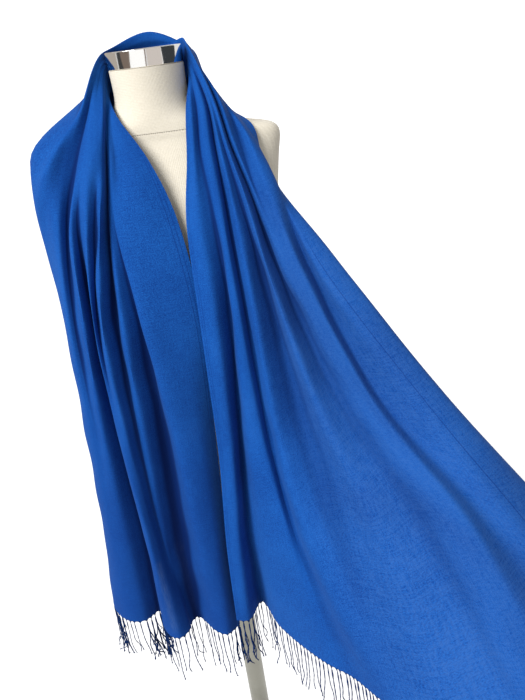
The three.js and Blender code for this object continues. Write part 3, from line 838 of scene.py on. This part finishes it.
def fringe(name, hem, inside, replaced, seed, tangles):
    random = np.random.default_rng(seed)
    shares, length = line_shares(hem)
    count = round(length / STRAND_SPACING)
    down = unit(hem - inside)

    def sample(values, at):
        return np.stack([np.interp(at, shares, values[:, axis]) for axis in range(3)], axis=-1)

    def hanging(at):
        return unit(unit(sample(down, at)) + DOWNWARD_PULL)

    knots = (np.arange(count + 1) + random.normal(0, SPACING_VARIATION, count + 1)) / count
    knots[[0, -1]] = END_KNOTS
    depths = SCALLOP_DEPTH * random.uniform(*SCALLOP_VARIATION, count + 1)
    turn = np.linspace(-math.pi / 2, math.pi / 2, SCALLOP_SAMPLES, endpoint=False)
    first, second = knots[:-1, None], knots[1:, None]
    places = (first + (second - first) * 0.5 * (1 + np.sin(turn))).ravel()
    nearer = np.where(turn < 0, depths[:-1, None], depths[1:, None])
    dips = np.maximum(nearer * (1 - np.cos(turn)), SCALLOP_LEAST).ravel()
    places = np.append(places, knots[-1])
    dips = np.append(dips, depths[-1])
    edge = sample(hem, places)
    reach = hanging(places) * dips[:, None]
    upper = edge - unit(sample(down, places)) * STRIP_OVERLAP
    strip = np.stack([upper, edge + reach * STRIP_MIDDLE, edge + reach])
    strip_points, strip_faces, _ = wall(strip, STRIP_WALL, np.zeros(strip.shape[:2] + (2,)))
    points = [strip_points]
    faces = list(strip_faces)
    offset = len(strip_points)
    for at, depth in zip(knots, depths):
        start = hanging(at)
        root = sample(hem, at) + start * (depth - KNOT_INSIDE)
        hangs = [(random.uniform(*PLAIN_CURL), random.normal(0, PLAIN_LEAN),
                  random.uniform(*PLAIN_THICKNESS))]
        for begins, ends, ruffle, pull, yarns in tangles:
            if begins <= at <= ends:
                loose = np.where(random.random(yarns) < LOOSE_LOOPS, LOOSE_PULL, 1)
                hangs = [(random.uniform(*TANGLE_CURL) * ruffle * wild, random.normal(0, pull) * wild,
                          TANGLE_THICKNESS / wild ** LOOSE_THINNING) for wild in loose]
        for curl, lean, thickness in hangs:
            sideways = np.array([lean, random.normal(0, FORWARD_LEAN), abs(lean) * SIDEWAYS_LIFT])
            long = STRAND_LENGTH * random.uniform(*LENGTH_VARIATION) - depth
            for ply_points, ply_faces in strand(root, start, long, sideways, curl, thickness, random):
                points.append(ply_points)
                faces += [tuple(corner + offset for corner in face) for face in ply_faces]
                offset += len(ply_points)
    piece = mesh_piece(name, np.concatenate(points), faces, YARN)
    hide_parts(replaced)
    return piece


FRINGE_LEFT = fringe("fringe_of_left_end", SURFACE[0], SURFACE[1], "fringe_left",
                     LEFT_SEED, LEFT_TANGLES)
FRINGE_RIGHT = fringe("fringe_of_right_end", SURFACE[-1], SURFACE[-2], "fringe_right",
                      RIGHT_SEED, RIGHT_TANGLES)

# Dress form: level sections as drop, half width, front, back and how square the corners are.
FORM_SECTIONS = [
    (FORM_FOOT_DROP, 153, 98, 104, 2.4),
    (680, 158, 100, 110, 2.4),
    (620, 146, 96, 100, 2.3),
    (540, 123, 86, 80, 2.2),
    (480, 114, 85, 70, 2.2),
    (420, 123, 96, 72, 2.2),
    (350, 146, 114, 82, 2.3),
    (300, 155, 118, 88, 2.4),
    (230, 158, 98, 88, 2.6),
    (186, 163, 80, 84, 2.8),
    (150, 168, 62, 72, 3),
    (124, 174, 53, 58, 2.8),
    (117, 173, 51, 55, 2.8),
    (112, 160, 51, 53, 2.7),
    (105, 122, 51, 52, 2.4),
    (93, 91, 50.5, 51.5, 2.2),
    (85, 68, 50.5, 51, 2),
    (76, 56, 50, 50, 2),
    (62, 50, 49.5, 49.5, 2),
    (CAP_HEIGHT + PARTING, 51, 51, 51, 2),
]
FORM_SIDES = 128
FORM_RINGS = 150
FORM_SMOOTHINGS = 6


def form_piece():
    table = np.array(FORM_SECTIONS)
    walked = np.concatenate([[0], np.cumsum(np.hypot(np.diff(table[:, 0]), np.diff(table[:, 1])))])
    at = np.linspace(0, walked[-1], FORM_RINGS)
    sections = np.stack([np.interp(at, walked, table[:, i]) for i in range(table.shape[1])], axis=1)
    for _ in range(FORM_SMOOTHINGS):
        sections[1:-1] = (sections[:-2] + 2 * sections[1:-1] + sections[2:]) / 4
    angles = np.arange(FORM_SIDES) / FORM_SIDES * TURN
    cos, sin = np.cos(angles), np.sin(angles)
    points = []
    for drop, half_width, front, back, corner in sections:
        depth = np.where(sin < 0, front, back)
        x = half_width * np.sign(cos) * np.abs(cos) ** (2 / corner)
        y = depth * np.sign(sin) * np.abs(sin) ** (2 / corner)
        points.append(np.stack([x, y, np.full_like(x, CAP_TOP - drop)], axis=1))
    faces = ring_faces(FORM_RINGS, FORM_SIDES)
    return mesh_piece("dress_form", np.concatenate(points), faces, JERSEY)


FORM = form_piece()
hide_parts("form_torso")


def turned_points(profile, sides):
    """Rings of points round the pole's axis, one for each pair of radius and height."""
    angles = [i / sides * TURN for i in range(sides)]
    return [(radius * math.cos(a), radius * math.sin(a), height)
            for radius, height in profile for a in angles]


def turned_piece(name, profile, sides, material):
    """A piece turned round the pole's axis, closed at both ends."""
    points = turned_points(profile, sides)
    faces = ring_faces(len(profile), sides)
    return mesh_piece(name, points, faces, material, sharp=TURNED_SMOOTH_ANGLE)


def rounded(radius, height, edge, steps=5):
    """The quarter round of an upper rim."""
    turns = [step / steps * math.pi / 2 for step in range(steps + 1)]
    return [(radius - edge + edge * math.cos(a), height - edge + edge * math.sin(a)) for a in turns]


WIDE_SIDES = 160
NARROW_SIDES = 96
CENTRE_RADIUS = 4
CAP_EDGE = 1.6
BASE_EDGE = 3
CAP_FOOT = CAP_TOP - CAP_HEIGHT
CAP = turned_piece("chrome_cap", [
    (CAP_RADIUS - 1.8, CAP_FOOT), (CAP_RADIUS - 1, CAP_FOOT + 0.8),
    *rounded(CAP_RADIUS, CAP_TOP, CAP_EDGE), (CAP_RADIUS - 8, CAP_TOP), (CENTRE_RADIUS, CAP_TOP),
], WIDE_SIDES, CHROME)
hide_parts("neck_cap")
FOOT_TOP = CAP_TOP - FORM_FOOT_DROP - PARTING
FOOT = turned_piece("form_collar", [
    (FOOT_RADIUS - 5, FOOT_TOP - FOOT_HEIGHT), (FOOT_RADIUS - 3, FOOT_TOP - FOOT_HEIGHT + 1),
    (FOOT_RADIUS, FOOT_TOP - 4), (FOOT_RADIUS, FOOT_TOP),
], NARROW_SIDES, STEEL)
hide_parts("form_foot")
POLE_TOP = FOOT_TOP - FOOT_HEIGHT - PARTING
POLE = turned_piece("stand_pole", [
    (POLE_RADIUS, BASE_HEIGHT + PARTING), (POLE_RADIUS, POLE_TOP / 2), (POLE_RADIUS, POLE_TOP - 1),
    (POLE_RADIUS - 1, POLE_TOP),
], NARROW_SIDES, STEEL)
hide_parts("pole")
BASE = turned_piece("stand_base", [
    (BASE_RADIUS - 1, 0), (BASE_RADIUS, 1), *rounded(BASE_RADIUS, BASE_HEIGHT, BASE_EDGE),
    (POLE_RADIUS + 12, BASE_HEIGHT), (CENTRE_RADIUS, BASE_HEIGHT),
], WIDE_SIDES, STEEL)
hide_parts("base")


# Studio, in metres: a pale sweep under and behind the form, boards that only the bright metal mirrors, and
# one broad key light. A board has a first and last bearing in degrees, and its glow.
SWEEP_SIDES = 96
SWEEP_FLOOR = [(0.01, 0), (1.5, 0), (3, 0)]
BEND_STEPS = 12
BOARD_STEPS = 8
SWEEP_RADIUS = 9
SWEEP_BEND = 3
SWEEP_HEIGHT = 8
BOARD_DISTANCE = 2.6
BOARD_HEIGHT = 3.2
BOARDS = [
    ("beige board", -174, -84, (0.50, 0.45, 0.40)),
    ("black board", -80, -64, (0.06, 0.06, 0.06)),
    ("brown board", -64, -38, (0.22, 0.17, 0.14)),
    ("white board", -38, 10, (1.25, 1.25, 1.25)),
    ("dark strip", 9, 13, (0.20, 0.13, 0.10)),
    ("pale board", 16, 56, (0.72, 0.66, 0.62)),
    ("grey board", 58, 110, (0.045, 0.05, 0.055)),
    ("bright board", 110, 180, (0.95, 0.93, 0.90)),
]
KEY_FROM = (-0.56, -0.58, 0.59)
KEY_STRENGTH = 4.3
KEY_SPREAD = math.radians(35)
SKY_STRENGTH = 0.55


def stage_piece(name, points, faces, material):
    mesh = bpy.data.meshes.new(name)
    mesh.from_pydata(points, [], faces)
    mesh.materials.append(material)
    mesh.polygons.foreach_set("use_smooth", [True] * len(faces))
    piece = add_object(name, mesh)
    piece.visible_diffuse = False
    piece.visible_shadow = False
    return piece


def add_sweep():
    """A floor that bends up into a wall all round; the key light passes through it."""
    bend = [step / BEND_STEPS * math.pi / 2 for step in range(BEND_STEPS + 1)]
    middle = SWEEP_RADIUS - SWEEP_BEND
    profile = [*SWEEP_FLOOR]
    profile += [(middle + SWEEP_BEND * math.sin(a), SWEEP_BEND - SWEEP_BEND * math.cos(a)) for a in bend]
    profile.append((SWEEP_RADIUS, SWEEP_HEIGHT))
    points = turned_points(profile, SWEEP_SIDES)
    stage_piece("studio_sweep", points, band_faces(len(profile), SWEEP_SIDES), sweep_material())


def add_boards():
    """Upright boards round the form, seen only in the metal."""
    corners = BOARD_STEPS + 1
    faces = [(i, i + 1, i + 1 + corners, i + corners) for i in range(BOARD_STEPS)]
    for name, first, last, shade in BOARDS:
        turns = [math.radians(first + (last - first) * step / BOARD_STEPS) for step in range(corners)]
        foot = [(BOARD_DISTANCE * math.sin(a), -BOARD_DISTANCE * math.cos(a)) for a in turns]
        points = [(x, y, height) for height in (0.0, BOARD_HEIGHT) for x, y in foot]
        board_name = name.replace(" ", "_")
        board = stage_piece(board_name, points, faces, board_material(board_name, shade))
        board.visible_camera = False


def add_key():
    data = bpy.data.lights.new("key", "SUN")
    data.energy = KEY_STRENGTH
    data.angle = KEY_SPREAD
    light = add_object("key", data)
    light.rotation_euler = (-Vector(KEY_FROM)).to_track_quat("-Z", "Y").to_euler()


add_sweep()
add_boards()
add_key()
WORLD = bpy.data.worlds.new("studio")
WORLD.use_nodes = True
SKY = WORLD.node_tree.nodes["Background"]
SKY.inputs["Color"].default_value = GLOW_WHITE
SKY.inputs["Strength"].default_value = SKY_STRENGTH
bpy.context.scene.world = WORLD
bpy.context.scene.view_settings.view_transform = "Standard"
